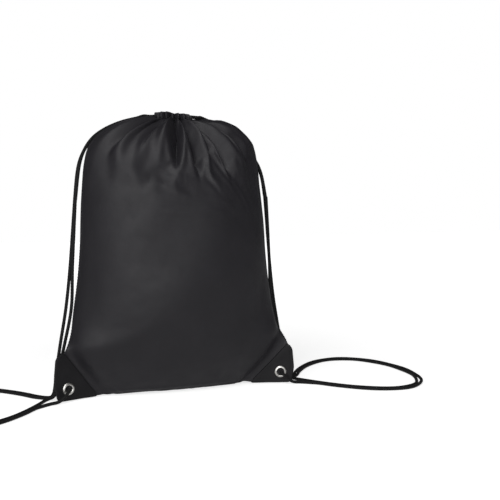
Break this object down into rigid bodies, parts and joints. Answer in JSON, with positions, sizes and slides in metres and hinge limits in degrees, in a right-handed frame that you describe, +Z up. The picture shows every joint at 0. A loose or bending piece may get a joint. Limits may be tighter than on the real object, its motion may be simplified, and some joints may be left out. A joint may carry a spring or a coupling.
{
  "type": "drawstring backpack",
  "caption": "Filled black polyester cinch sack standing upright, mouth gathered by two cords that form shoulder straps tied behind eyelets in reinforced bottom corners.",
  "frame": {"origin": "on the floor, at the middle of the bag's bottom seam", "axes": "+X along the width to the bag's left side as it is worn, -Y out of the front, +Z up"},
  "size_m": [0.7376, 0.2292, 0.3862],
  "materials": {
    "cloth": "plain-weave coated polyester, soft sheen",
    "corner_patch": "heavier matt coated cloth",
    "thread": "twisted polyester thread",
    "eyelet_metal": "nickel-plated, lightly scuffed",
    "cord": "round braided polyester"
  },
  "bodies": {
    "bag": {"front_panel": "cloth", "back_panel": "cloth", "bottom_seam": "cloth", "left_corner_patch": "corner_patch", "right_corner_patch": "corner_patch", "left_side_seam": "thread", "right_side_seam": "thread", "left_patch_stitching": "thread", "right_patch_stitching": "thread", "left_eyelet": "eyelet_metal", "right_eyelet": "eyelet_metal", "left_eyelet_washer": "eyelet_metal", "right_eyelet_washer": "eyelet_metal", "left_strap_front_cord": "cord", "left_strap_back_cord": "cord", "right_strap_front_cord": "cord", "right_strap_back_cord": "cord", "left_eyelet_cord": "cord", "right_eyelet_cord": "cord", "left_cord_knot": "cord", "right_cord_knot": "cord", "left_knot_tail": "cord", "right_knot_tail": "cord"},
    "front_hem": {"front_hem": "cloth", "front_hem_stitching": "thread", "front_hem_cords": "cord"},
    "back_hem": {"back_hem": "cloth", "back_hem_stitching": "thread", "back_hem_cords": "cord"},
    "left_slack_start": {"left_slack_start": "cord"},
    "right_slack_start": {"right_slack_start": "cord"},
    "left_slack_loop": {"left_slack_loop": "cord"},
    "right_slack_loop": {"right_slack_loop": "cord"}
  },
  "joints": [
    {"name": "mouth_open", "type": "slide", "parent": "bag", "child": "front_hem", "axis": [0, -1, 0], "range_m": [0, 0.02]},
    {"name": "mouth_open_back", "type": "slide", "parent": "bag", "child": "back_hem", "axis": [0, 1, 0], "range_m": [0, 0.02]},
    {"name": "left_slack_swing", "type": "hinge", "parent": "bag", "child": "left_slack_start", "pos_m": [-0.178, -0.008, 0], "axis": [0, 0, 1], "range_deg": [-15, 15]},
    {"name": "right_slack_swing", "type": "hinge", "parent": "bag", "child": "right_slack_start", "pos_m": [0.178, -0.008, 0], "axis": [0, 0, 1], "range_deg": [-15, 15]},
    {"name": "left_slack_draw", "type": "slide", "parent": "left_slack_start", "child": "left_slack_loop", "axis": [1, 0, 0], "range_m": [0, 0.02]},
    {"name": "right_slack_draw", "type": "slide", "parent": "right_slack_start", "child": "right_slack_loop", "axis": [-1, 0, 0], "range_m": [0, 0.02]}
  ],
  "couplings": [
    {"joint": "mouth_open_back", "follows": "mouth_open", "ratio": 1},
    {"joint": "left_slack_draw", "follows": "mouth_open", "ratio": 1},
    {"joint": "right_slack_draw", "follows": "mouth_open", "ratio": 1}
  ]
}
